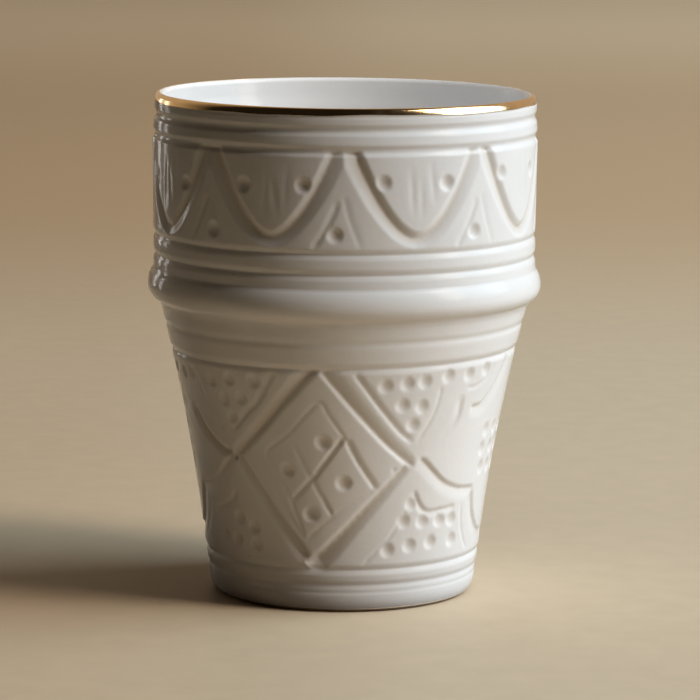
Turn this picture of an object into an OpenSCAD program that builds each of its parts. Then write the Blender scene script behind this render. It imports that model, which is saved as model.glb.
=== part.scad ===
// Handleless ceramic cup: a thrown and turned clay tumbler under a white glaze, with a gold lustre lip.
// The rings, beads and bands are turned on the wheel, and the ornament between them is carved by hand.
// The cup stands on its foot ring at z = 0, with its axis on Z. Lengths are in millimetres.

/* [Foot] */
// Diameter of the ring that the cup stands on
foot_d = 52.2; // [46:0.2:56]
// How far the foot swells outwards over its rounded edge
foot_swell = 2.2; // [1:0.1:3]
// Height of the rounded foot edge
foot_round_h = 4; // [2:0.1:4.5]
// Share of the rounded edge that stays bare of glaze, in degrees of its quarter turn
foot_bare_turn = 45; // [30:1:60]
// Height of the groove under the lower band
foot_h = 9.2; // [8.5:0.1:14]
// Distance of the foot's own groove below that one
foot_groove_drop = 3.3; // [2.8:0.1:3.6]
// Diameter of the recess under the cup
recess_d = 42; // [30:0.5:44]
// Depth of that recess
recess_h = 1.8; // [1:0.1:2.5]
// Width of the slope between the recess and the foot ring
recess_slope_w = 1; // [0.5:0.1:1.5]

/* [Lower band] */
// Height of the tapering band with the lozenges
lower_band_h = 43; // [36:0.5:50]
// Diameter at the foot of that band
lower_d = 58.2; // [56.7:0.2:62]
// Diameter at its top
upper_d = 73.2; // [68:0.2:76]
// How far its sides bow inwards between the two
lower_bow = 0.65; // [0:0.05:1.2]

/* [Neck and bead] */
// Height of the plain neck above the lower band
neck_h = 9; // [7.5:0.1:12]
// Height of the neck's groove above the lower band
neck_groove_rise = 5.3; // [3:0.1:5.5]
// Diameter of the neck under the bead
neck_d = 77.5; // [76.2:0.1:79]
// Diameter of the big bead
bead_d = 83; // [81.6:0.1:86]
// How far the bead stands out from its own core
bead_out = 3.2; // [2.4:0.1:4]
// Height of the bead's underside
bead_under_h = 3.4; // [2.6:0.1:4.5]
// Height of the bead's upper side
bead_over_h = 4.6; // [3:0.1:6]
// Height of the hollow between the neck and the bead
bead_hollow_h = 0.8; // [0.5:0.1:1.5]

/* [Upper band] */
// Height of the plain step between the bead and the collar
step_h = 3; // [2:0.1:5]
// Height of the collar, from groove to groove
collar_h = 4.2; // [3.4:0.1:6]
// Height of the band with the swags, from groove to groove
upper_band_h = 20.9; // [18:0.1:26]
// Height of the ring under the lip, from groove to groove
lip_ring_h = 4.1; // [3.4:0.1:6]
// Diameter at the foot of the band with the swags
band_low_d = 80.6; // [79.2:0.1:81.4]
// Diameter at its top
band_high_d = 81; // [79.4:0.1:81.4]

/* [Lip] */
// Height of the lip above its groove
lip_h = 4.4; // [3.6:0.1:7]
// Outer diameter of the lip
lip_d = 80.3; // [79.2:0.1:81.4]
// Thickness of the lip
lip_t = 2.1; // [1.7:0.05:2.6]

/* [Turned grooves] */
// Width of the grooves round the bands
groove_w = 2.2; // [1.2:0.1:2.4]
// Depth of those grooves
groove_depth = 0.6; // [0.3:0.05:0.8]
// Depth of the finer grooves on the neck and the foot
fine_groove_depth = 0.4; // [0.2:0.05:0.6]

/* [Carved swags] */
// Number of swags round the upper band
swag_count = 8; // [6:1:10]
// Turn of the first swag from the front, in degrees
swag_turn = 21.6; // [0:0.1:45]
// Gap between the tips of two swags, in degrees
swag_gap = 9; // [8:0.2:16]
// Height of a swag's lowest point above the collar's groove
swag_rise = 3.2; // [3:0.1:6]
// Distance of its tips below the groove over them
swag_tip_drop = 1.6; // [1.4:0.1:4]
// Turn of a swag's two dimples from its middle, in degrees
swag_dimple_turn = 9.8; // [8:0.1:11]
// Height of those dimples above the swag's lowest point
swag_dimple_rise = 11; // [9:0.1:12]

/* [Carved lozenges and scallops] */
// Turn of the front lozenge from the front, in degrees
lozenge_turn = -8.7; // [-45:0.1:45]
// Turn from a lozenge's middle to its side corners, in degrees
lozenge_half = 34.4; // [28:0.2:40]
// Height of its side corners above the band's lower groove
lozenge_side_h = 23; // [19:0.5:26]
// Distance of its upper and lower corner from the grooves
lozenge_tip_gap = 1.8; // [1.6:0.1:4]
// Turn of its side dimples from its middle, in degrees
lozenge_dimple_turn = 11; // [8:0.5:13]
// Height of its upper and lower dimple from the side ones
lozenge_dimple_rise = 7.5; // [5:0.5:8.5]
// How far a scallop hangs below the line between its two ends
scallop_sag = 2.7; // [1:0.1:4]

/* [Carving tools] */
// Width of the carved channels
channel_w = 3.2; // [2.4:0.1:3.6]
// Depth of those channels
channel_depth = 0.8; // [0.5:0.05:0.9]
// Diameter of the dimples
dimple_d = 3.4; // [2.4:0.1:3.8]
// Depth of the dimples
dimple_depth = 0.7; // [0.4:0.05:0.9]
// Thickness of the white slip that is left under the deepest cut
slip_left_t = 0.7; // [0.5:0.05:0.9]

/* [Wall] */
// Thickness of the wall, with both glazes
wall = 3.3; // [2.8:0.1:4]
// Height of the glazed floor inside, above the table
floor_z = 7; // [5:0.1:9]
// Radius of the rounded corner between the floor and the wall
floor_corner_r = 9; // [5:0.5:12]

/* [Glaze and gold] */
// Thickness of the glaze
glaze_t = 0.4; // [0.25:0.05:0.5]
// Thickness of the gold lustre, which lies flush in the glaze
gold_t = 0.2; // [0.1:0.02:0.24]
// Depth of the gold below the lip's crest, outside
gold_drop = 1.5; // [1.4:0.1:2.4]
// Turn round the lip at which the gold ends inside, in degrees from the outer side
gold_turn = 140; // [120:5:165]

/* [Hidden] */
$fn = 96;
arc_steps = 6;
band_steps = 8;
fine_groove_w = groove_w - 0.2;
// Straight cuts in an arm of a swag, a side of a lozenge and a scallop, and how far two cuts overlap
swag_steps = 3;
swag_power = 1.8;
line_steps = 3;
scallop_steps = 2;
cut_overlap = 0.2;
// How much wider the tool's round end is than its sides, so that it clears each bend and start of a channel
end_swell = 0.06;
// Ends of the scallops, as shares of the turn beside a lozenge and of the height over and under its corner
scallop_ends = [
    [[0.06, 0.02], [0.34, 0.6]],
    [[0.42, 0.54], [0.8, 1]],
    [[0.08, -0.02], [0.62, -0.38]],
    [[0.65, -0.5], [1, -0.88]]
];
// Thickness of the white slip and glaze in the carved bands
slip_t = max(channel_depth, dimple_depth) + slip_left_t;
// Heights of the turned rings, from the table up
z_low = foot_h;
z_foot_groove = z_low - foot_groove_drop;
z_high = z_low + lower_band_h;
z_neck_groove = z_high + neck_groove_rise;
z_neck = z_high + neck_h;
z_bead = z_neck + bead_hollow_h + bead_under_h;
bead_end_turn = 50;
z_step = z_bead + bead_over_h * sin(bead_end_turn);
z_collar_low = z_step + step_h;
z_collar_high = z_collar_low + collar_h;
z_band = z_collar_high + upper_band_h;
z_lip_groove = z_band + lip_ring_h;
cup_h = z_lip_groove + lip_h;
z_gold = cup_h - gold_drop;
// Radii that several pieces share
foot_r = foot_d / 2;
foot_edge_h = min(foot_round_h, z_foot_groove - fine_groove_w / 2);
bead_start_turn = -72;
bead_core_r = bead_d / 2 - bead_out;
bead_start_r = bead_core_r + bead_out * cos(bead_start_turn);
bead_end_r = bead_core_r + bead_out * cos(bead_end_turn);
lip_mid_r = (lip_d - lip_t) / 2;

// Heights and turns of the carving
z_swag = z_collar_high + swag_rise;
swag_half = 180 / swag_count - swag_gap / 2;
z_corner = z_low + lozenge_side_h;

// Distance along a stretch, from 0 at its start to 1 at its end
function share(z, z0, z1) = (z - z0) / (z1 - z0);
function between(a, b, u) = a + (b - a) * u;
function reversed(list) = [for (i = [len(list) - 1:-1:0]) list[i]];

// Radius of the tapering lower band, which bows inwards between its ends and runs on down to the foot
function lower_r(z) =
    let (u = share(z, z_low, z_high))
    between(lower_d, upper_d, u) / 2 - 4 * lower_bow * max(u, 0) * (1 - u);

// A turned groove, as points up its section
function groove(z, r_below, r_above, w, depth) = [
    for (s = [-1:0.25:1])
        [between(r_below, r_above, (s + 1) / 2) - depth * (1 + cos(180 * s)) / 2, z + s * w / 2]
];

// The rounded edge of the foot between two turns of its quarter round
function foot_edge(from, to) = [
    for (i = [0:arc_steps])
        let (turn = between(from, to, i / arc_steps))
        [foot_r + foot_swell * sin(turn), foot_edge_h * (1 - cos(turn))]
];

// The lower band between its two grooves
function lower_side() = [
    for (i = [1:band_steps - 1])
        let (z = between(z_low + groove_w / 2, z_high - groove_w / 2, i / band_steps))
        [lower_r(z), z]
];

// The big bead, lower and upper side
function bead_side(from, to, h) = [
    for (i = [0:arc_steps])
        let (turn = between(from, to, i / arc_steps))
        [bead_core_r + bead_out * cos(turn), z_bead + h * sin(turn)]
];

// The whole turned outside, from the bare foot up to the lip's groove
function turned_side() = concat(
    foot_edge(foot_bare_turn, 90),
    groove(z_foot_groove, lower_r(z_foot_groove), lower_r(z_foot_groove), fine_groove_w, fine_groove_depth),
    groove(z_low, lower_r(z_low - groove_w / 2), lower_r(z_low + groove_w / 2), groove_w, groove_depth),
    lower_side(),
    groove(z_high, lower_r(z_high - groove_w / 2), upper_d / 2 + groove_w / 8, groove_w, groove_depth),
    groove(z_neck_groove, neck_r(z_neck_groove), neck_r(z_neck_groove), fine_groove_w, fine_groove_depth),
    [[neck_d / 2, z_neck]],
    bead_side(bead_start_turn, 0, bead_under_h),
    bead_side(bead_end_turn / arc_steps, bead_end_turn, bead_over_h),
    groove(z_collar_low, band_low_d / 2, band_low_d / 2, groove_w, groove_depth),
    groove(z_collar_high, band_low_d / 2, band_low_d / 2, groove_w, groove_depth),
    groove(z_band, band_high_d / 2, band_high_d / 2, groove_w, groove_depth),
    groove(z_lip_groove, lip_d / 2, lip_d / 2, groove_w, groove_depth)
);

// Radius of the neck, a plain cone between the lower band and the bead
function neck_r(z) = between(upper_d, neck_d, share(z, z_high, z_neck)) / 2;

// The same outside, set back by the white coat, which is thicker in the two bands that are carved
function carved_band(z) = (z > z_low && z < z_high) || (z > z_collar_high && z < z_band);
function under_coat() = [for (p = turned_side()) [p[0] - (carved_band(p[1]) ? slip_t : glaze_t), p[1]]];

// The rounded lip between two turns, 0 outside and 180 inside, set back by a thickness
function lip_edge(from, to, inset) = [
    for (i = [0:arc_steps])
        let (turn = between(from, to, i / arc_steps), r = lip_t / 2 - inset)
        [lip_mid_r + r * cos(turn), cup_h - lip_t / 2 + r * sin(turn)]
];

// The lip in the stretches that the gold and the two glazes share
function whole_lip(inset) = concat(
    lip_edge(0, 90, inset),
    lip_edge(90, gold_turn, inset),
    lip_edge(gold_turn, 180, inset)
);

// Radius of the inside wall in the lower band, a wall's thickness within the outside
function inside_r(z) = lower_r(z) - wall;

// Radius of the inside wall where two turned forms meet, a wall's thickness within the narrower one
function inside_at(r_below, r_above) = min(r_below, r_above) - wall;

// The inside, from the lip down to the middle of the floor, set back by a thickness
function inside(inset) =
    let (corner_z = floor_z + floor_corner_r, corner_mid_r = inside_r(corner_z) - floor_corner_r)
    concat(
        [
            [inside_at(band_high_d / 2, lip_d / 2) + inset, z_band],
            [inside_at(bead_end_r, band_low_d / 2) + inset, z_step],
            [inside_at(neck_d / 2, bead_start_r) + inset, z_neck],
            [inside_at(upper_d / 2, neck_d / 2) + inset, z_high]
        ],
        [
            for (i = [1:band_steps - 1])
                let (z = between(z_high, corner_z, i / band_steps))
                [inside_r(z) + inset, z]
        ],
        [
            for (i = [0:arc_steps])
                let (turn = 90 - 90 * i / arc_steps, r = floor_corner_r + inset)
                [corner_mid_r + r * sin(turn), corner_z - r * cos(turn)]
        ],
        [[0, floor_z - inset]]
    );

// Radius of the tool whose edge leaves a cut of this width and depth
function tool_r(w, depth) = (w * w / 4 + depth * depth) / (2 * depth);

// Radius of the outside under the carving, and the place of a tool that cuts this deep at a turn and height
function carved_r(z) =
    z < z_neck ? lower_r(z) : between(band_low_d, band_high_d, share(z, z_collar_high, z_band)) / 2;
function tool_at(p, r, depth) =
    let (out = carved_r(p[1]) + r - depth)
    [out * sin(p[0]), -out * cos(p[0]), p[1]];

// One straight cut of a round tool
module cut(from, to, r) {
    along = to - from;
    translate(from)
    rotate([0, acos(along[2] / norm(along)), atan2(along[1], along[0])])
    translate([0, 0, -cut_overlap])
    cylinder(h = norm(along) + 2 * cut_overlap, r = r);
}

// A channel through points given as turn and height, with round bends, and a round start if first_bend is 0
module channel(points, first_bend = 0) {
    r = tool_r(channel_w, channel_depth);
    for (i = [1:len(points) - 1])
        cut(tool_at(points[i - 1], r, channel_depth), tool_at(points[i], r, channel_depth), r);
    for (i = [first_bend:len(points) - 2])
        translate(tool_at(points[i], r, channel_depth))
        sphere(r + end_swell);
}

// A dimple at a turn and height
module dimple(turn, z) {
    r = tool_r(dimple_d, dimple_depth);
    translate(tool_at([turn, z], r, dimple_depth))
    sphere(r);
}

// One swag, which hangs like a chain from its two tips
function swag() = [
    for (i = [-swag_steps:swag_steps])
        let (u = i / swag_steps)
        [swag_half * u, between(z_swag, z_band - swag_tip_drop, pow(abs(u), swag_power))]
];

// The swags round the upper band, with two dimples in each and one between each two
module swags() {
    for (i = [0:swag_count - 1])
        rotate(swag_turn + i * 360 / swag_count) {
            channel(swag(), 1);
            for (side = [-1, 1])
                dimple(side * swag_dimple_turn, z_swag + swag_dimple_rise);
            dimple(180 / swag_count, z_swag + dimple_d / 4);
        }
}

// Two sides of a lozenge, from the corner on one side to the other over a tip at a height
function lozenge_sides(side, z_tip) = [
    for (i = [-line_steps:line_steps])
        let (u = i / line_steps)
        [side * lozenge_half * u, between(z_tip, z_corner, abs(u))]
];

// One lozenge: four straight sides round four dimples
module lozenge() {
    z_dimple = z_corner - dimple_d / 2;
    channel(lozenge_sides(1, z_high - lozenge_tip_gap));
    channel(lozenge_sides(-1, z_low + lozenge_tip_gap));
    for (side = [-1, 1]) {
        dimple(side * lozenge_dimple_turn, z_dimple);
        dimple(0, z_dimple + side * lozenge_dimple_rise);
    }
}

// A scallop's end as turn and height, from its shares of the room beside, over and under a lozenge's corner
function scallop_end(side, shares) =
    let (room = (shares[1] > 0 ? z_high - z_corner : z_corner - z_low) - lozenge_tip_gap)
    [side * between(lozenge_half, 90, shares[0]), z_corner + shares[1] * room];

// A scallop, which hangs by its sag between two points given as turn and height
function scallop(from, to) = [
    for (i = [0:scallop_steps])
        let (u = i / scallop_steps)
        [between(from[0], to[0], u), between(from[1], to[1], u) - scallop_sag * 4 * u * (1 - u)]
];

// The scallops between a lozenge's corner and the middle of the medallion beside it
module scallops(side) {
    for (ends = scallop_ends)
        channel(scallop(scallop_end(side, ends[0]), scallop_end(side, ends[1])));
}

// All the carving: swags above, and two lozenges with the scallops between them below
module carving() {
    swags();
    for (turn = [0, 180])
        rotate(lozenge_turn + turn) {
            lozenge();
            scallops(-1);
            scallops(1);
        }
}

// The fired clay: foot ring, wall and floor, bare at the foot and covered by glaze everywhere else
module clay_body() {
    color("antiquewhite")
    rotate_extrude()
    polygon(concat(
        [[0, recess_h], [recess_d / 2 - recess_slope_w, recess_h], [recess_d / 2, 0]],
        foot_edge(0, foot_bare_turn),
        under_coat(),
        whole_lip(glaze_t),
        inside(glaze_t)
    ));
}

// White coat over the outside, from the bare foot to the crest of the lip, with the ornament carved into it
module outer_glaze() {
    color("whitesmoke")
    difference() {
        turned_coat();
        carving();
    }
}

// That coat before it is carved
module turned_coat() {
    rotate_extrude()
    polygon(concat(
        turned_side(),
        [[lip_d / 2, z_gold], [lip_d / 2 - gold_t, z_gold]],
        lip_edge(0, 90, gold_t),
        reversed(lip_edge(0, 90, glaze_t)),
        reversed(under_coat())
    ));
}

// White glaze over the inside, from the crest of the lip to the middle of the floor
module inner_glaze() {
    color("white")
    rotate_extrude()
    polygon(concat(
        lip_edge(90, gold_turn, gold_t),
        lip_edge(gold_turn, 180, 0),
        inside(0),
        reversed(inside(glaze_t)),
        reversed(lip_edge(gold_turn, 180, glaze_t)),
        reversed(lip_edge(90, gold_turn, glaze_t))
    ));
}

// Gold lustre over the crest of the lip, fired into the glaze
module gold_rim() {
    color("goldenrod")
    rotate_extrude()
    polygon(concat(
        [[lip_d / 2, z_gold]],
        lip_edge(0, 90, 0),
        lip_edge(90, gold_turn, 0),
        reversed(lip_edge(90, gold_turn, gold_t)),
        reversed(lip_edge(0, 90, gold_t)),
        [[lip_d / 2 - gold_t, z_gold]]
    ));
}

clay_body();
outer_glaze();
inner_glaze();
gold_rim();
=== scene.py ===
import math

import bpy
import numpy as np
from mathutils import Matrix, Vector


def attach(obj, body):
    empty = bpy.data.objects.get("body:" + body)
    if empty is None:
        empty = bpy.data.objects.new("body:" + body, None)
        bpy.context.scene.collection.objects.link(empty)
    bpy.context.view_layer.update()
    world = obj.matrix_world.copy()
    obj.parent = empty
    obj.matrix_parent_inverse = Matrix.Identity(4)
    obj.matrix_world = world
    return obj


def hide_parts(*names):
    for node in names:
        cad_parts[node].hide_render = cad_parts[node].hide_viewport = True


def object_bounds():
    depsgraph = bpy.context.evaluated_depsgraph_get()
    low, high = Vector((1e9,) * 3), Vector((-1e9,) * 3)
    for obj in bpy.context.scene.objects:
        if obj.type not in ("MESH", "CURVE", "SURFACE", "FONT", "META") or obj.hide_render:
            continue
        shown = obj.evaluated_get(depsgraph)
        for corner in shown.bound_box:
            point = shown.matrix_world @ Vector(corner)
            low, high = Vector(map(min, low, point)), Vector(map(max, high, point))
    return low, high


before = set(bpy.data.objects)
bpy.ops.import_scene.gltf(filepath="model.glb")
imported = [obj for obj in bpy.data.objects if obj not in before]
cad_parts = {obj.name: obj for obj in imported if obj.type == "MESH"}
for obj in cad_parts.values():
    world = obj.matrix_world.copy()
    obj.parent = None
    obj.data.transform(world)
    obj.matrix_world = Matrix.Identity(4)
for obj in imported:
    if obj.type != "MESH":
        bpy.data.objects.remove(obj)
cad_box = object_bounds()


# Clay body
# A tumbler of pale buff clay, thrown on the wheel and turned when leather-hard: foot ring, wall and floor.
# White coats cover it inside and out, so it shows only where the foot ring and the recess under it stay bare.
MM = 0.001
cup_h = cad_box[1].z / MM
bead_r = cad_box[1].x / MM
foot_r, foot_swell, foot_round_h, foot_bare_turn = 26.1, 2.2, 4.0, 33
recess_r, recess_h = 21.0, 1.8
low_z, high_z = 9.2, 52.2
low_r, high_r, lower_bow = 29.1, 36.6, 0.65
neck_ring_z, neck_z, neck_r = 57.5, 61.2, 38.75
bead_z, bead_out, bead_under_h, bead_over_h = 65.4, 3.2, 3.4, 4.6
bead_core_r = bead_r - bead_out
bead_start_z, bead_start_out = 62.2, 1.0
bead_end_z, bead_end_out = 68.9, 2.06
band_low_r, band_high_r = 40.3, 40.5
collar_low_z, collar_high_z, band_z, lip_ring_z = 71.9, 76.1, 97.0, 101.1
lip_r, lip_t, lip_round_h = 40.15, 2.1, 1.9
wall_t, floor_z, corner_r, inside_foot_r = 3.3, 7.0, 9.0, 26.0
glaze_t, slip_t, slip_past, slip_thinning = 0.4, 1.5, 2.0, 1.0
ring_half_w, point_power, round_power = 1.3, 1.5, 2
turned_rings = (
    # height, half width and depth of each groove that was cut on the wheel, and whether the tool was pointed
    (5.9, 1.1, 0.3, True),
    (low_z, ring_half_w, 0.45, True),
    (high_z, ring_half_w, 0.5, True),
    (neck_ring_z, 1.2, 0.3, True),
    (collar_low_z, ring_half_w, 0.5, True),
    (collar_high_z, ring_half_w, 0.5, True),
    (band_z, ring_half_w, 0.5, False),
    (lip_ring_z, ring_half_w, 0.4, False),
)


def outside_r(z):
    """Radius of the turned outside at heights above the table, in millimetres."""
    z = np.asarray(z, float)
    up = (z - low_z) / (high_z - low_z)
    foot = foot_r + foot_swell * np.sqrt(np.clip(1 - (1 - z / foot_round_h) ** 2, 0, 1))
    lower = low_r + (high_r - low_r) * up - 4 * lower_bow * np.clip(up, 0, 1) * (1 - up)
    neck = np.interp(z, (high_z, neck_z, bead_start_z), (high_r, neck_r, bead_core_r + bead_start_out))
    bead_half_h = np.where(z < bead_z, bead_under_h, bead_over_h)
    bead = bead_core_r + bead_out * np.sqrt(np.clip(1 - ((z - bead_z) / bead_half_h) ** 2, 0, 1))
    upper = np.interp(
        z,
        (bead_end_z, collar_low_z - ring_half_w, collar_high_z, band_z, lip_ring_z),
        (bead_core_r + bead_end_out, band_low_r, band_low_r, band_high_r, lip_r),
    )
    below = [z < foot_round_h, z < high_z, z < bead_start_z, z < bead_end_z]
    r = np.select(below, [foot, lower, neck, bead], upper)
    for ring_z, half_w, depth, pointed in turned_rings:
        off = np.clip(abs(z - ring_z) / half_w, 0, 1)
        r = r - depth * ((1 - off) ** point_power if pointed else (1 - off**2) ** round_power)
    return r


def coat_t(z):
    """Thickness of the white coat, which is deeper in the two bands that are carved."""
    heights, thicknesses = [], []
    for low, high in ((low_z, high_z), (collar_high_z, band_z)):
        start, end = low - slip_past, high + slip_past
        heights += [start - slip_thinning, start, end, end + slip_thinning]
        thicknesses += [glaze_t, slip_t, slip_t, glaze_t]
    return np.interp(z, heights, thicknesses)


def inside_r(z):
    """Radius of the inside wall above the rounded corner of the floor."""
    heights = (0, low_z, high_z, neck_z, bead_end_z, band_z)
    bare = np.interp(z, heights, (inside_foot_r, low_r, high_r, neck_r, band_low_r, lip_r))
    up = np.clip((np.asarray(z, float) - low_z) / (high_z - low_z), 0, 1)
    return bare - wall_t - 4 * lower_bow * up * (1 - up)


def inside_outline(out, wall_points):
    """The inside from under the lip to the middle of the floor, set outwards by a thickness."""
    corner_z = floor_z + corner_r
    heights = np.linspace(cup_h - lip_t, corner_z, wall_points)
    lip_in = np.interp(heights, (band_z, cup_h - lip_t), (0, lip_r - lip_t - inside_r(band_z)))
    wall_side = [(r + out, z) for r, z in zip(inside_r(heights) + lip_in, heights)]
    middle_r = float(inside_r(corner_z)) - corner_r
    round_r = corner_r + out
    turns = np.radians(np.linspace(90, 0, 14)[1:])
    corner = [(middle_r + round_r * math.sin(t), corner_z - round_r * math.cos(t)) for t in turns]
    floor = [(middle_r * share, floor_z - out) for share in (0.75, 0.5, 0.25, 0)]
    return wall_side + corner + floor


def lip_outline(start, end, inset, points):
    """The rounded lip between two turns, 0 outside and 180 inside, set back by a thickness.

    The outside falls away more slowly than the inside.
    """
    outline = []
    for turn in np.radians(np.linspace(start, end, points)):
        round_h = lip_round_h if turn < math.pi / 2 else lip_t / 2
        r = lip_r - lip_t / 2 + (lip_t / 2 - inset) * math.cos(turn)
        outline.append((r, cup_h - round_h + (round_h - inset) * math.sin(turn)))
    return outline


def turned(name, outline, columns):
    """A piece turned on the wheel: its outline, as radius and height, is drawn by points and spun round."""
    sectors, weld, crease_turn = 6, 0.004 * MM, 60
    bpy.ops.object.select_all(action="DESELECT")
    bpy.ops.mesh.primitive_plane_add(size=MM)
    piece = bpy.context.object
    piece.name = piece.data.name = name
    bpy.ops.object.mode_set(mode="EDIT")
    bpy.ops.mesh.select_all(action="SELECT")
    bpy.ops.mesh.merge(type="CENTER")
    steps = np.diff(np.vstack(((0, 0), outline)), axis=0) * MM
    bpy.ops.transform.translate(value=(0, steps[0][0], steps[0][1]))
    for r, z in steps[1:]:
        bpy.ops.mesh.extrude_region_move(TRANSFORM_OT_translate={"value": (0, r, z)})
    bpy.ops.mesh.select_all(action="SELECT")
    bpy.ops.mesh.spin(steps=columns // sectors, angle=math.tau / sectors, center=(0, 0, 0), axis=(0, 0, 1))
    bpy.ops.mesh.select_all(action="SELECT")
    for _ in range(sectors - 1):
        bpy.ops.mesh.duplicate()
        bpy.ops.transform.rotate(value=math.tau / sectors, orient_axis="Z", center_override=(0, 0, 0))
    bpy.ops.mesh.select_all(action="SELECT")
    bpy.ops.mesh.remove_doubles(threshold=weld)
    bpy.ops.mesh.normals_make_consistent(inside=False)
    bpy.ops.object.mode_set(mode="OBJECT")
    bpy.ops.object.shade_smooth_by_angle(angle=math.radians(crease_turn))
    return piece


class Tone:
    """A number or colour that changes over a surface. Sums and products of numbers add their own nodes."""

    def __init__(self, nodes, socket):
        self.nodes = nodes
        self.socket = socket

    def worked(self, operation, first, second):
        return self.nodes.node("ShaderNodeMath", {"operation": operation}, {0: first, 1: second})

    def __add__(self, other):
        return self.worked("ADD", self, other)

    def __sub__(self, other):
        return self.worked("SUBTRACT", self, other)

    def __rsub__(self, other):
        return self.worked("SUBTRACT", other, self)

    def __mul__(self, other):
        return self.worked("MULTIPLY", self, other)

    __radd__ = __add__
    __rmul__ = __mul__


class Nodes:
    """The nodes of a finish or of the room: one shader, its even settings, and what varies it."""

    def __init__(self, owner, shader, **even):
        owner.use_nodes = True
        self.tree = owner.node_tree
        self.shader = self.tree.nodes[shader]
        for socket, value in even.items():
            self.shader.inputs[socket.replace("_", " ")].default_value = value

    def node(self, kind, settings=None, sockets=None, output=0):
        made = self.tree.nodes.new(kind)
        for name, value in (settings or {}).items():
            setattr(made, name, value)
        for name, value in (sockets or {}).items():
            if isinstance(value, Tone):
                self.tree.links.new(value.socket, made.inputs[name])
            else:
                made.inputs[name].default_value = value
        return Tone(self, made.outputs[output])

    def feed(self, socket, tone):
        self.tree.links.new(tone.socket, self.shader.inputs[socket])


class Finish(Nodes):
    """A surface finish, with patterns that lie on the piece's own coordinates."""

    def __init__(self, name, **even):
        self.material = bpy.data.materials.new(name)
        super().__init__(self.material, "Principled BSDF", **even)
        self.place = self.node("ShaderNodeTexCoord", output="Object")

    def stretched(self, scale):
        """Object coordinates in millimetres, stretched along each axis."""
        sockets = {"Vector": self.place, "Scale": [s / MM for s in scale]}
        return self.node("ShaderNodeMapping", None, sockets)

    def noise(self, size, detail, stretch=(1, 1, 1)):
        """Soft noise from 0 to 1, with patches of a size in millimetres."""
        sockets = {"Vector": self.stretched(stretch), "Scale": 1 / size, "Detail": detail}
        return self.node("ShaderNodeTexNoise", None, sockets)

    def specks(self, spacing, r):
        """1 inside small round specks that lie about a spacing apart, and 0 between them, in millimetres."""
        sockets = {"Vector": self.stretched((1, 1, 1)), "Scale": 1 / spacing}
        gap = self.node("ShaderNodeTexVoronoi", None, sockets)
        return self.between(gap, r / spacing, 0.5 * r / spacing)

    def between(self, tone, low, high):
        """0 where a tone is at low, 1 where it is at high, eased in between."""
        settings = {"interpolation_type": "SMOOTHSTEP"}
        return self.node("ShaderNodeMapRange", settings, {"Value": tone, "From Min": low, "From Max": high})

    def mixed(self, share, first, second, way="MIX"):
        """A colour between two, by a share that changes over the surface."""
        settings = {"data_type": "RGBA", "blend_type": way}
        return self.node("ShaderNodeMix", settings, {"Factor": share, 6: first, 7: second}, output=2)

    def bump(self, tone, height):
        """The shader's normal, roughened by a tone of this height in millimetres."""
        self.feed("Normal", self.node("ShaderNodeBump", None, {"Height": tone, "Distance": height * MM}))

    def put_on(self, piece):
        piece.data.materials.clear()
        piece.data.materials.append(self.material)


def bare_clay():
    """Fired buff clay: a cloudy tone, fine sandy grain with darker grit, and faint turning rings."""
    deep_buff, pale_buff, grit = (0.46, 0.36, 0.25, 1), (0.58, 0.48, 0.36, 1), (0.30, 0.21, 0.14, 1)
    finish = Finish("bare_clay", Specular_IOR_Level=0.25)
    grain = finish.noise(size=0.5, detail=4)
    rings = finish.noise(size=0.9, detail=2, stretch=(0.12, 0.12, 1))
    tone = finish.mixed(finish.noise(size=9, detail=3), deep_buff, pale_buff)
    finish.feed("Base Color", finish.mixed(finish.between(grain, 0.62, 0.75) * 0.6, tone, grit))
    finish.feed("Roughness", 0.72 + 0.2 * grain)
    finish.bump(grain + rings, 0.12)
    return finish


foot_turns = np.radians(np.linspace(0, foot_bare_turn, 8))
foot_edge = [(foot_r + foot_swell * math.sin(t), foot_round_h * (1 - math.cos(t))) for t in foot_turns]
coat_start_z = foot_edge[-1][1]
coat_edge_h = 0.25
core_start_z = coat_start_z + coat_edge_h
core_heights = np.linspace(core_start_z, cup_h - lip_t, 70)
core_heights = np.sort(np.append(core_heights, [ring[0] for ring in turned_rings]))
# the recess from its middle over its soft edge to the ring that the cup stands on
recess = [(0, recess_h), (10, recess_h), (recess_r - 1.6, recess_h), (recess_r - 1, recess_h - 0.25)]
recess += [(recess_r - 0.35, 0.3), (recess_r, 0.08), (recess_r + 0.3, 0), (foot_r - 2.5, 0)]
clay_outline = (
    recess
    + foot_edge
    + [(float(outside_r(z) - coat_t(z)), float(z)) for z in core_heights]
    + lip_outline(0, 180, glaze_t, 9)
    + inside_outline(glaze_t, 30)
)
clay_body = turned("clay_body_fired", clay_outline, 192)
bare_clay().put_on(clay_body)
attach(clay_body, "root")
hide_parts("clay_body")


# Outer glaze, lower part
# The white coat from the bare foot up to the hollow under the bead. The clay was carved by hand with a gouge
# and a ball tool while it was leather-hard, with lozenges and lobed medallions, and then dipped in glaze.
HALF_TURN = 180
# how a tool was held: the widths of the steep side and of the slope that it leaves, and its depth
SCALLOP_CUT = {"steep": 0.65, "slope": 2.8, "depth": 0.52}
FINE_CUT = {"steep": 0.75, "slope": 1.4, "depth": 0.4}
HAIR_CUT = {"steep": 0.55, "slope": 0.7, "depth": 0.2}
DIMPLE = {"r": 1.8, "depth": 0.55}
DOT = {"r": 1.65, "depth": 0.44}


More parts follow.
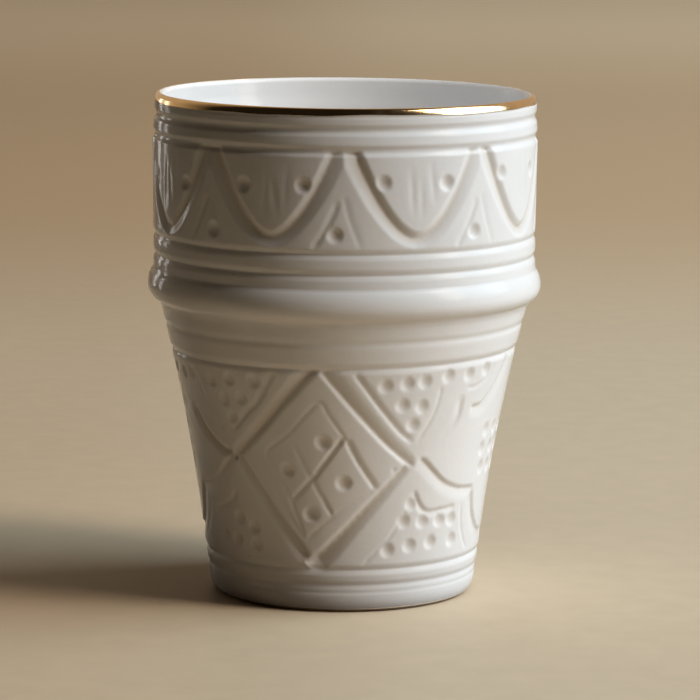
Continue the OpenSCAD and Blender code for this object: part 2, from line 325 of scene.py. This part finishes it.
class Carving:
    """The outside of a coat, with the depth that the tools have cut at each of its points."""

    # lengths in millimetres, and the powers that shape a cut's steep side, its ends and a dimple
    skin_gap = 0.1
    steep_power, end_power, dimple_power = 1.05, 0.8, 1.1
    ring_lap, ring_fade = 0.3, 0.8
    uneven_depth, uneven_h = 0.05, 9
    ring_tilt, ring_tilt_h = 0.45, 9

    def __init__(self, piece):
        self.piece = piece
        self.places = np.empty(len(piece.data.vertices) * 3)
        piece.data.vertices.foreach_get("co", self.places)
        self.places = self.places.reshape(-1, 3) / MM
        r = np.hypot(self.places[:, 0], self.places[:, 1])
        self.skin = np.flatnonzero(r > outside_r(self.places[:, 2]) - self.skin_gap)
        x, y, self.height = self.places[self.skin].T
        self.turn = np.degrees(np.arctan2(x, -y))
        self.r = np.hypot(x, y)
        self.depth = np.zeros(len(self.skin))

    def near(self, path, reach):
        """The points within reach of a path, and their turns, counted on from the path's middle."""
        middle = (path[:, 0].min() + path[:, 0].max()) / 2
        turn = (self.turn - middle + HALF_TURN) % (2 * HALF_TURN) - HALF_TURN + middle
        side = np.degrees(reach / self.r)
        close = (turn > path[:, 0].min() - side) & (turn < path[:, 0].max() + side)
        close &= (self.height > path[:, 1].min() - reach) & (self.height < path[:, 1].max() + reach)
        found = np.flatnonzero(close)
        return found, turn[found]

    def deepen(self, found, depth):
        self.depth[found] = np.maximum(self.depth[found], depth)

    def cut(self, points, steep, slope, depth, fade=1.4, hollow=1.5):
        """A gouge drawn through turns and heights: a steep side on its left hand, a wide slope on its right.

        The slope and the depth may be pairs, for a cut that changes from its start to its end. The slope is
        straight with hollow at 1 and more hollow above that. The cut runs out over the length of its fade.
        """
        path = drawn(points)
        found, turn = self.near(path, max(steep, np.max(slope)))
        across = np.radians(turn[:, None] - path[:, 0]) * self.r[found][:, None]
        up = self.height[found][:, None] - path[:, 1]
        closest = np.argmin(across**2 + up**2, axis=1)
        pick = np.arange(len(found)), closest
        degree_w = np.radians(self.r[found])
        heading = np.gradient(path, axis=0)[closest]
        left = heading[:, 0] * degree_w * up[pick] > heading[:, 1] * across[pick]
        lengths = np.hypot(np.diff(path[:, 0]) * degree_w.mean(), np.diff(path[:, 1]))
        run = np.concatenate(([0], np.cumsum(lengths)))
        end_gap = np.minimum(run, run[-1] - run)[closest]
        fading = np.clip(end_gap / fade, 0, 1) ** self.end_power if fade else 1
        slope = np.interp(run[closest], (0, run[-1]), np.broadcast_to(slope, 2))
        depth = np.interp(run[closest], (0, run[-1]), np.broadcast_to(depth, 2))
        share = np.hypot(across[pick], up[pick]) / np.where(left, steep, slope)
        profile = np.clip(1 - share, 0, 1) ** np.where(left, self.steep_power, hollow)
        self.deepen(found, depth * fading * profile)

    def press(self, turn, height, r, depth):
        """A dimple pressed in with a ball tool."""
        path = np.array([(turn, height)], float)
        found, turns = self.near(path, r)
        gap = np.hypot(np.radians(turns - turn) * self.r[found], self.height[found] - height)
        self.deepen(found, depth * np.clip(1 - (gap / r) ** 2, 0, 1) ** self.dimple_power)

    def finish(self, low, high):
        """Moves the skin in by the depth cut and by the slight unevenness of a piece turned by hand.

        The cuts stop at the two rings that bound their band, and the ring over the lower band runs a little
        askew. The depth stays on the mesh, for the glaze that pools in the cuts and the painted shade there.
        """
        self.depth *= np.clip((self.height - low + self.ring_lap) / self.ring_fade, 0, 1)
        self.depth *= np.clip((high + self.ring_lap - self.height) / self.ring_fade, 0, 1)
        turn = np.radians(self.turn)
        uneven = 2 + np.sin(2 * turn + 0.6) + np.sin(3 * turn + self.height / self.uneven_h)
        inward = 1 - (self.depth + self.uneven_depth * uneven) / self.r
        self.places[self.skin, 0] *= inward
        self.places[self.skin, 1] *= inward
        from_ring = (self.height - high_z) / self.ring_tilt_h
        self.places[self.skin, 2] += self.ring_tilt * np.sin(turn) * np.exp(-(from_ring**2))
        mesh = self.piece.data
        mesh.vertices.foreach_set("co", (self.places * MM).ravel())
        mesh.update()
        cut = mesh.attributes.new("cut_depth", "FLOAT", "POINT")
        depth = np.zeros(len(mesh.vertices), np.float32)
        depth[self.skin] = self.depth
        cut.data.foreach_set("value", depth)


def drawn(points):
    """The path of a steady hand through a few turns and heights, as places close together."""
    degree_w, path_step = 0.6, 0.3
    points = np.array(points, float)
    ends = np.vstack((2 * points[0] - points[1], points, 2 * points[-1] - points[-2]))
    path = []
    for a, b, c, d in zip(ends, ends[1:], ends[2:], ends[3:]):
        count = max(2, int(np.hypot(*((c - b) * (degree_w, 1))) / path_step))
        t = np.linspace(0, 1, count, endpoint=False)[:, None]
        path.append(b + t / 2 * (c - a + t * (2 * a - 5 * b + 4 * c - d + t * (3 * b - a - 3 * c + d))))
    return np.vstack(path + [points[-1:]])


def white_glaze(name, gloss, white):
    """White glaze: thicker and creamier where it pools in the cuts, darkened and browned there by painted
    shade, with iron specks and a soft sheen.
    """
    pooled_glaze_and_shade, iron, cloudiness = (0.63, 0.55, 0.45, 1), (0.22, 0.15, 0.09, 1), 0.02
    dull_white, clear_white = [(white + part,) * 3 + (1,) for part in (-cloudiness, cloudiness)]
    finish = Finish(name, IOR=1.25)
    cut = finish.node("ShaderNodeAttribute", {"attribute_name": "cut_depth"}, output="Fac")
    tone = finish.mixed(finish.noise(size=14, detail=2), dull_white, clear_white)
    # glaze pooling in the cuts, with painted shade that darkens and browns them by their depth
    tone = finish.mixed(finish.between(cut, 0.05, 0.8) * 0.5, tone, pooled_glaze_and_shade)
    finish.feed("Base Color", finish.mixed(finish.specks(spacing=9, r=0.2) * 0.6, tone, iron))
    finish.feed("Roughness", gloss + 0.08 * finish.noise(size=6, detail=3))
    grain = finish.noise(size=1.1, detail=3)
    turning = finish.noise(size=0.8, detail=2, stretch=(0.05, 0.05, 1))
    finish.bump(grain * 0.6 + turning * 0.4, 0.035)
    return finish


def rows(*stops):
    """Heights from stop to stop, each stop given with the row height up to the next one."""
    heights = []
    for (start, step), (end, _) in zip(stops, stops[1:]):
        heights += list(np.arange(start, end - step / 2, step))
    return heights + [stops[-1][0]]


def coat_outline(heights, back_heights):
    """The coat's skin up through some heights and its back down through others, as radius and height."""
    skin = [(float(outside_r(z)), z) for z in heights]
    back = [(float(outside_r(z) - coat_t(z)), z) for z in back_heights]
    return skin, back


seam_rise, ring_margin, neck_start_z = 0.5, 1.5, 54
seam_z = neck_z + seam_rise
lower_rows = rows(
    (coat_start_z, 0.3),
    (low_z - ring_margin, 0.26),
    (low_z + ring_margin, 0.38),
    (high_z - ring_margin, 0.26),
    (neck_start_z, 0.5),
    (seam_z, 1),
)
lower_back_rows = [seam_z, neck_ring_z, neck_start_z, high_z, high_z - 1, 40, 30, 20, low_z + 1, low_z]
lower_skin, lower_back = coat_outline(lower_rows, lower_back_rows + [7, 5, 3, core_start_z])
lower_coat = turned("outer_glaze_lower", lower_skin + lower_back + lower_skin[:1], 540)
lower_carving = Carving(lower_coat)
# turns and heights of the front lozenge and of all between it and the middles of the medallions beside it
lozenge_sides = (
    # the path of each side, and how the gouge was held
    (
        [(-8, 53), (-12, 51), (-21, 45), (-28.7, 40), (-36, 36), (-44, 32)],
        {"steep": 1.5, "slope": (2.6, 1.8), "depth": 0.8},
    ),
    (
        [(-44, 33.5), (-41, 32), (-28, 22), (-18, 15), (-13.2, 11.8)],
        {"steep": 1.0, "slope": (1.8, 2.6), "depth": (0.7, 0.8)},
    ),
    (
        [(-14.4, 10.2), (-6.8, 13.4), (3.3, 19), (11.8, 24), (18.5, 28), (26, 32.4)],
        {"steep": 1.15, "slope": (3.3, 1.2), "depth": (1.3, 0.6), "fade": 3.0, "hollow": 0.95},
    ),
    (
        [(27, 31), (21, 33.6), (13.5, 37.5), (3.5, 44), (-4.5, 50), (-7.5, 52.4)],
        {"steep": 0.95, "slope": (2.0, 3.2), "depth": 0.65},
    ),
)
scallops = (
    [(50, 42.4), (56, 42.4), (60, 43.9), (64, 46), (68, 49), (70, 52)],
    [(29, 33), (32.5, 31.5), (37.5, 28.9), (42.5, 26.8), (50, 25.2), (57, 24.6), (62, 24.4)],
    [(61, 24), (62, 22), (65, 18.3), (70, 15.5), (75, 14), (81.3, 13.3), (86, 13.6)],
    [(-93, 52), (-89, 47), (-84, 43.8), (-78, 42), (-72, 42)],
    [(-71, 24.4), (-61, 25.2), (-55, 27), (-50, 29.7), (-44, 33)],
    [(-95, 13.3), (-88, 13.6), (-81, 14.8), (-76, 17.3), (-73, 21), (-70, 24.4)],
)
# scallops that run towards the lozenge's corners
corner_scallops = (
    (
        [(45.5, 45), (45, 44), (44, 40), (39, 37), (33, 34.4), (27, 32.3)],
        {"steep": 0.9, "slope": 2.2, "depth": (0.45, 0.08)},
    ),
    (
        [(-66, 41.8), (-61, 38), (-56, 35.4), (-50, 33.6), (-44, 33)],
        {"steep": 0.8, "slope": 2.2, "depth": (1.0, 0.85), "hollow": 1.1},
    ),
)
# the cross in the lozenge
cross_lines = (
    ([(0.6, 38), (-9.5, 30), (-11, 29), (-20.5, 23.4)], {"steep": 0.8, "slope": 0.9, "depth": (0.65, 0.25)}),
    ([(-18, 36), (-13, 30), (-11.5, 28.5), (-3.6, 20.6)], {"steep": 0.8, "slope": 0.8, "depth": (0.1, 0.3)}),
)
fine_lines = (
    [(-22.8, 51.5), (-29.7, 45), (-35, 42), (-38.5, 40), (-43, 37.5)],
    [(25.5, 36.4), (20.7, 38.5), (15.3, 42), (10, 46), (3.4, 51.5)],
    [(13, 26.3), (9, 29.5), (5, 33), (1, 37.5)],
    [(28, 26), (28.7, 25), (31, 22.7), (34, 21.2), (38.5, 20.8), (50, 21.3)],
    [(-59, 20), (-53, 20.9), (-48, 22.3), (-45, 24.8)],
)
# the square in the lozenge, from its right corner over the top and the left corner to its foot
lozenge_square = [(0.8, 37.5), (-4.5, 42), (-8.5, 45), (-19, 38.5), (-28.5, 33.6)]
lozenge_square += [(-24, 28.6), (-19.6, 23.5), (-14.8, 15.3)]
hair_lines = (
    [(8, 10), (13, 12.8), (19, 16), (26, 22)],
    [(34.7, 48), (34, 44), (31.5, 40.3), (27.2, 36.3)],
    [(46, 46.5), (52, 46.7), (58, 48.5), (61, 50.8)],
    [(54, 21.5), (54.2, 20.5), (55.5, 17), (58.5, 13.7), (62.5, 11)],
    [(-47, 37), (-51, 39.8), (-54.5, 42.5), (-57, 46), (-58, 49.5)],
    [(-75, 12.5), (-68, 16.5), (-64, 20.5)],
    lozenge_square,
    [(-33, 31.4), (-26, 25.4), (-19.9, 19.7), (-15.6, 15.6)],
    [(-14.8, 15.3), (-4, 20.6), (5, 24), (12.8, 26.6)],
)
dimples = ((-7, 36.7), (-20.5, 30.5), (0.5, 28), (-12, 21.2))
dots = (
    (14, 48.5), (21.5, 48.8), (28, 49), (20.5, 44.3), (27.8, 43.8), (25, 40),
    (37, 49.7), (46.5, 49.4), (55.5, 49.9), (24.5, 19.3), (33, 19), (41.5, 18.8), (48.5, 18.5),
    (18.5, 13.3), (28, 14), (38, 14.3), (50, 14), (27.5, 23),
    (-31, 49), (-41, 49), (-50, 48), (-37, 45), (-44.5, 44.4), (-42, 40.5),
    (-61, 49), (-68, 48.5), (-78, 49), (-44.5, 18.8), (-37, 17.3), (-36.5, 13.4), (-47, 14), (-55, 14.2),
    (64.5, 36.5), (63.5, 32.5), (65.5, 28.3), (73, 36.3), (72.6, 32.2), (73.2, 28),
    (81.3, 36), (81, 32), (81.5, 28),
    (-90, 36.4), (-90.4, 32.3), (-89.8, 28.1), (-81.7, 36.2), (-82, 32), (-81.4, 28.2),
)
lower_cuts = list(lozenge_sides + corner_scallops + cross_lines)
for paths, tool in ((scallops, SCALLOP_CUT), (fine_lines, FINE_CUT), (hair_lines, HAIR_CUT)):
    lower_cuts += [(path, tool) for path in paths]
for half in (0, HALF_TURN):
    for path, tool in lower_cuts:
        lower_carving.cut([(turn + half, height) for turn, height in path], **tool)
    for places, tool in ((dimples, DIMPLE), (dots, DOT)):
        for turn, height in places:
            lower_carving.press(turn + half, height, **tool)
# the slips of the tool at the front lozenge's corners
lower_carving.press(19.3, 30.4, r=0.75, depth=0.18)
lower_carving.press(-43.6, 32.2, r=1.0, depth=0.8)
lower_carving.finish(low_z, high_z)
outer_white = white_glaze("outer_white_glaze", gloss=0.09, white=0.82)
outer_white.put_on(lower_coat)
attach(lower_coat, "root")
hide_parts("outer_glaze")


# Outer glaze, upper part
# The same coat from the hollow under the bead to the crest of the lip, over the bead, the collar and the ring
# under the lip. Eight swags hang round the band between them, each with two pressed dimples.
SWAG_CUT = {"steep": 1.5, "fade": 0, "hollow": 1.0}
FLUTE_CUT = {"steep": 1.0, "slope": 1.2, "fade": 4}
PEAK_DIMPLE = {"r": 1.75, "depth": 0.5}
swag_half, swag_low_z, swag_high_z, swag_power = 18.4, 79.3, 96.4, 1.8
peak_dimple_z, flute_depth, flute_change = 80.1, 0.10, 0.04
gold_bed = 0.06  # how far the glaze lies back under the gold
upper_rows = rows(
    (seam_z, 0.42),
    (bead_end_z, 0.3),
    (77.5, 0.37),
    (95.6, 0.27),
    (102.5, 0.35),
    (cup_h - lip_t, 1),
)
upper_back_rows = [cup_h - lip_t, 99, band_z, band_z - 1, 90, 83, collar_high_z + 1, collar_high_z, 72, 69]
upper_skin, upper_back = coat_outline(upper_rows, upper_back_rows + [66, 63.5, seam_z])
lip_skin = lip_outline(0, 90, gold_bed, 9)
lip_back = lip_outline(90, 0, glaze_t, 5)
upper_ring = upper_skin + lip_skin + lip_back + upper_back + upper_skin[:1]
upper_coat = turned("outer_glaze_upper", upper_ring, 648)
upper_carving = Carving(upper_coat)
# turn of each swag's middle, then turn and height of its left and right dimple
swags = (
    (-64, (-74, 89), (-53.5, 88.7)),
    (-21.9, (-30.5, 89.7), (-12, 90)),
    (21.4, (11, 90.6), (30.7, 90.3)),
    (64.5, (52.3, 91.4), (72.3, 91)),
    (110, (100, 90.4), (120, 90)),
    (156.5, (146.5, 90), (166, 90.5)),
    (203.5, (194, 90.3), (213.5, 89.8)),
    (249.5, (239.5, 90.2), (259.5, 90)),
)
# turn of each brushed flute from the swag's middle, and its lower and upper end
flutes = ((-1.6, 83, 94), (1.3, 82.5, 92), (4.8, 85, 95))
# turn of the middle between two swags, and of the dimple under the peak there
peaks = (
    (-42.6, -41.3), (-0.7, -2.8), (43, 40.8), (87.3, 86.5),
    (133.3, 134), (180, 179), (226.5, 227.5), (272.7, 272),
)
# turns from that middle and heights of the two short legs under each peak
peak_legs = (
    ([(-1, 87), (-4.2, 82), (-8.6, 77)], {"steep": 0.8, "slope": 1.3, "depth": 0.24}),
    ([(5.6, 77), (2, 83.5), (0.4, 88)], {"steep": 0.8, "slope": 1.4, "depth": 0.11}),
)
swag_points = 23
swag_shares = np.linspace(-1, 1, swag_points)
swag_heights = swag_low_z + (swag_high_z - swag_low_z) * abs(swag_shares) ** swag_power
for middle, *swag_dimples in swags:
    swag = list(zip(middle + swag_half * swag_shares, swag_heights))
    upper_carving.cut(swag[: swag_points // 2 + 1], slope=(3.1, 2.1), depth=0.8, **SWAG_CUT)
    upper_carving.cut(swag[swag_points // 2 :], slope=(2.1, 3.1), depth=(0.8, 0.6), **SWAG_CUT)
    for turn, height in swag_dimples:
        upper_carving.press(turn, height, **DIMPLE)
    for flute, low, high in flutes:
        sway = math.sin(7 * middle + 3 * flute)
        turn = middle + flute
        brushed = [(turn + sway, low + sway), (turn, (low + high) / 2), (turn - sway, high)]
        upper_carving.cut(brushed, depth=flute_depth + flute_change * sway, **FLUTE_CUT)
for middle, dimple_turn in peaks:
    for path, tool in peak_legs:
        upper_carving.cut([(middle + turn, height) for turn, height in path], **tool)
    upper_carving.press(dimple_turn, peak_dimple_z, **PEAK_DIMPLE)
upper_carving.finish(collar_high_z, band_z)
outer_white.put_on(upper_coat)
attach(upper_coat, "root")
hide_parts("outer_glaze")


# Inner glaze
# White glaze that was poured into the cup and out again, over the wall and the floor up to the crest of the
# lip. The rings of the potter's fingers still show under it. Its white is set darker than the same glaze
# outside, as painted shade inside the cup.
finger_ring_t, finger_ring_swing, finger_fade_r = 0.07, 1.1, 20


def finger_rings(outline):
    """The outline with the faint rings that the potter's fingers left, which die away on the floor."""
    ringed = []
    for r, z in outline:
        proud = finger_ring_t * (1 + math.sin(z * finger_ring_swing)) * min(1, r / finger_fade_r)
        ringed.append((r - proud, z))
    return ringed


inner_skin = lip_outline(90, 180, gold_bed, 10) + finger_rings(inside_outline(0, 90))
inner_back = inside_outline(glaze_t, 24)[::-1] + lip_outline(180, 90, glaze_t, 5)
inner_coat = turned("inner_glaze_poured", inner_skin + inner_back + inner_skin[:1], 256)
# the same white glaze as outside, set darker as painted shade inside the cup
inner_shaded_white = white_glaze("inner_shaded_glaze", gloss=0.06, white=0.58)
inner_shaded_white.put_on(inner_coat)
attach(inner_coat, "root")
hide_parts("inner_glaze")


# Gold lip
# Gold lustre brushed round the lip over the fired glaze and fired again at a low heat, so that it lies as a
# thin bright film. Its lower edge follows the hand that turned the cup under the brush.
gold_t, gold_low_turn, gold_turn = 0.2, 15, 96
gold_edge_drop, gold_edge_h = 0.8, 0.5


def gold_lustre():
    """Gold lustre: warm bright metal with faint brush marks round the lip and duller, thinner patches."""
    thin_gold, full_gold, brushed_gold = (0.76, 0.52, 0.25, 1), (0.90, 0.68, 0.40, 1), (0.45, 0.26, 0.09, 1)
    finish = Finish("gold_lustre", Metallic=1.0)
    strokes = finish.noise(size=0.35, detail=3, stretch=(0.2, 0.2, 1))
    patches = finish.noise(size=5, detail=3)
    tone = finish.mixed(patches, thin_gold, full_gold)
    tone = finish.mixed(finish.between(strokes, 0.55, 0.8) * 0.35, tone, brushed_gold)
    finish.feed("Base Color", tone)
    finish.feed("Roughness", 0.08 + 0.12 * patches)
    finish.bump(strokes, 0.003)
    return finish


gold_skin = lip_outline(gold_low_turn, 90, 0, 18) + lip_outline(90, gold_turn, 0, 9)[1:]
gold_back = lip_outline(gold_turn, gold_low_turn, gold_t, 14)
gold_rim = turned("gold_rim_lustre", gold_skin + gold_back + gold_skin[:1], 360)
gold_places = np.empty(len(gold_rim.data.vertices) * 3)
gold_rim.data.vertices.foreach_get("co", gold_places)
gold_places = gold_places.reshape(-1, 3)
gold_turns = np.arctan2(gold_places[:, 0], -gold_places[:, 1])
gold_low = np.clip((cup_h - gold_edge_drop - gold_places[:, 2] / MM) / gold_edge_h, 0, 1)
gold_wave = 0.16 * np.sin(3 * gold_turns + 1) + 0.1 * np.sin(7 * gold_turns) + 0.06 * np.sin(17 * gold_turns)
gold_places[:, 2] += gold_wave * gold_low * MM
gold_rim.data.vertices.foreach_set("co", gold_places.ravel())
gold_rim.data.update()
gold_lustre().put_on(gold_rim)
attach(gold_rim, "root")
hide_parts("gold_rim")


# Table top
# A plain pale floor of warm sand colour, wide enough to fill the picture, that takes the cup's shadow.
# Painted shade darkens the sand towards the back and to the left, and painted light lifts it at the far
# back. The light that it throws back on the cup comes from painted tones: warmer, brighter in front,
# darker to the left and back, darkest close round the foot as painted shade, and soon falling off, as
# from a small table in a dim room.
def pale_sand():
    """Matt sand, with painted shade to the back and left and painted light far back, and its bounce tones."""
    dull_sand, clear_sand = (0.71, 0.575, 0.405, 1), (0.81, 0.655, 0.465, 1)
    # painted shade towards the back and painted light at the far back
    painted_shade_back_sand, painted_light_far_sand = (0.68, 0.475, 0.283, 1), (0.965, 0.725, 0.465, 1)
    # painted shade to the left
    left_shade = (0.84, 0.785, 0.73, 1)
    shaded_bounce, lit_bounce = (0.38, 0.275, 0.17, 1), (0.88, 0.64, 0.40, 1)
    # painted bounce tones: the near one is painted shade round the foot, the far one dim light far off
    painted_shade_near_bounce, far_bounce = (0.12, 0.075, 0.04, 1), (0.135, 0.095, 0.057, 1)
    finish = Finish("pale_sand", Specular_IOR_Level=0.3)
    # distances from the cup in metres: to the right, to the back, and all round
    aside = finish.node("ShaderNodeSeparateXYZ", None, {0: finish.place}, output="X")
    behind = finish.node("ShaderNodeSeparateXYZ", None, {0: finish.place}, output="Y")
    away = finish.node("ShaderNodeVectorMath", {"operation": "LENGTH"}, {0: finish.place}, output="Value")
    sand = finish.mixed(finish.noise(size=8, detail=8), dull_sand, clear_sand)
    # painted shade towards the back, then painted light at the far back
    sand = finish.mixed(finish.between(behind, 0.25, 0.75), sand, painted_shade_back_sand)
    sand = finish.mixed(finish.between(behind, 1.1, 1.9), sand, painted_light_far_sand)
    # painted shade to the left
    sand = finish.mixed(finish.between(aside, 0.06, -0.09), sand, left_shade, way="MULTIPLY")
    lit = finish.between(0.6 * aside - 0.8 * behind, -0.02, 0.06)
    bounce = finish.mixed(lit, shaded_bounce, lit_bounce)
    # painted shade: the floor throws back almost no light close round the foot
    bounce = finish.mixed(finish.between(away, 0.03, 0.07), painted_shade_near_bounce, bounce)
    bounce = finish.mixed(finish.between(away, 0.08, 0.25), bounce, far_bounce)
    # the camera sees the sand, and so do the gold and the glaze as far as the picture's lower edge
    by_camera = finish.node("ShaderNodeLightPath", output="Is Camera Ray")
    in_gloss = finish.node("ShaderNodeLightPath", output="Is Glossy Ray")
    through_glass = finish.node("ShaderNodeLightPath", output="Is Transmission Ray")
    in_picture = finish.between(behind, -0.25, -0.12)
    seen = by_camera + (in_gloss + through_glass) * in_picture
    finish.feed("Base Color", finish.mixed(seen, bounce, sand))
    finish.feed("Roughness", 0.5 + 0.1 * finish.noise(size=3, detail=2))
    return finish


table_w = 8
bpy.ops.object.select_all(action="DESELECT")
bpy.ops.mesh.primitive_plane_add(size=table_w)
table = bpy.context.object
table.name = "table_top"
pale_sand().put_on(table)


# Lamps
# Plain soft studio light: one tall lamp stands to the right, in a warm near part and a cool far part. A small
# card over the mouth lifts the inside, and two slim lamps behind on the left draw the bright streaks on the
# shaded edge. The room around them is dim and warm.
def soft_lamp(name, turn, rise, distance, size, power, colour, aim=(0, 0, cup_h / 2)):
    """An area lamp at a turn from the front and a rise above the table that faces a point of the cup."""
    turn, rise = math.radians(turn), math.radians(rise)
    aim = Vector(aim) * MM
    away = Vector((math.sin(turn) * math.cos(rise), -math.cos(turn) * math.cos(rise), math.sin(rise)))
    bpy.ops.object.light_add(type="AREA", location=aim + away * distance)
    lamp = bpy.context.object
    lamp.name = lamp.data.name = name
    lamp.data.shape = "RECTANGLE"
    lamp.data.size, lamp.data.size_y = size
    lamp.data.energy, lamp.data.color = power, colour
    lamp.rotation_euler = away.to_track_quat("Z", "Y").to_euler()
    return lamp


TALL_LAMP = {"rise": 33, "distance": 3.5}
EDGE_LAMP = {"rise": 5, "distance": 0.45, "size": (0.03, 0.14), "power": 0.034, "colour": (1.0, 0.98, 0.96)}
tall_lamp_h, warm_part_w, cool_part_w = 3.3, 0.86, 2.34
warm_light, cool_light, card_light = (1.0, 0.90, 0.80), (0.68, 0.86, 1.0), (1.0, 0.96, 0.92)
card_size, card_aim = (0.04, 0.04), (18, 15, 88)
soft_lamp("warm_lamp", 68, size=(warm_part_w, tall_lamp_h), power=83, colour=warm_light, **TALL_LAMP)
soft_lamp("cool_lamp", 93.5, size=(cool_part_w, tall_lamp_h), power=117, colour=cool_light, **TALL_LAMP)
inside_card = soft_lamp("inside_card", -75, 55, 0.075, card_size, power=0.030, colour=card_light, aim=card_aim)
inside_card.visible_glossy = False
for name, turn in (("edge_lamp_left", -131), ("edge_lamp_right", -142)):
    soft_lamp(name, turn, **EDGE_LAMP)
room_light, wall_light = 0.012, 0.5
dim_room = bpy.data.worlds.new("dim_room")
room = Nodes(dim_room, "Background", Color=(1.0, 0.76, 0.52, 1))
towards = room.node("ShaderNodeTexCoord", output="Generated")
backwards = room.node("ShaderNodeSeparateXYZ", None, {0: towards}, output="Y")
upwards = room.node("ShaderNodeSeparateXYZ", None, {0: towards}, output="Z")
# the wall behind the cup, which shows only as a sheen on the gold and the glaze
back_wall = room.node("ShaderNodeMapRange", None, {"Value": backwards, "From Max": 0.6})
below_ceiling = room.node("ShaderNodeMapRange", None, {"Value": upwards, "From Min": 0.99, "From Max": 0.8})
in_sheen = room.node("ShaderNodeLightPath", output="Is Glossy Ray")
room.feed("Strength", room_light + (wall_light - room_light) * (back_wall * below_ceiling * in_sheen))
bpy.context.scene.world = dim_room


# Camera
# It stands before the cup, a little above the lip, and looks slightly down on it through a long lens.
# Its place and turns are those at which the cup's rings and foot lie as in the picture.
camera_place = (0, -0.79657, 0.17295)
camera_pitch, camera_yaw, camera_roll = 8.7186, 0.098, 0.5008
camera_focal_px, picture_px, sensor_mm = 3802.2, 700, 36
bpy.ops.object.camera_add(location=camera_place)
camera = bpy.context.object
camera.data.sensor_width = sensor_mm
camera.data.lens = camera_focal_px * sensor_mm / picture_px
camera.data.clip_start = 0.01
camera.rotation_euler = (
    Matrix.Rotation(math.radians(-camera_yaw), 3, "Z")
    @ Matrix.Rotation(math.radians(90 - camera_pitch), 3, "X")
    @ Matrix.Rotation(math.radians(camera_roll), 3, "Z")
).to_euler()
bpy.context.scene.camera = camera
bpy.context.scene.view_settings.view_transform = "Standard"
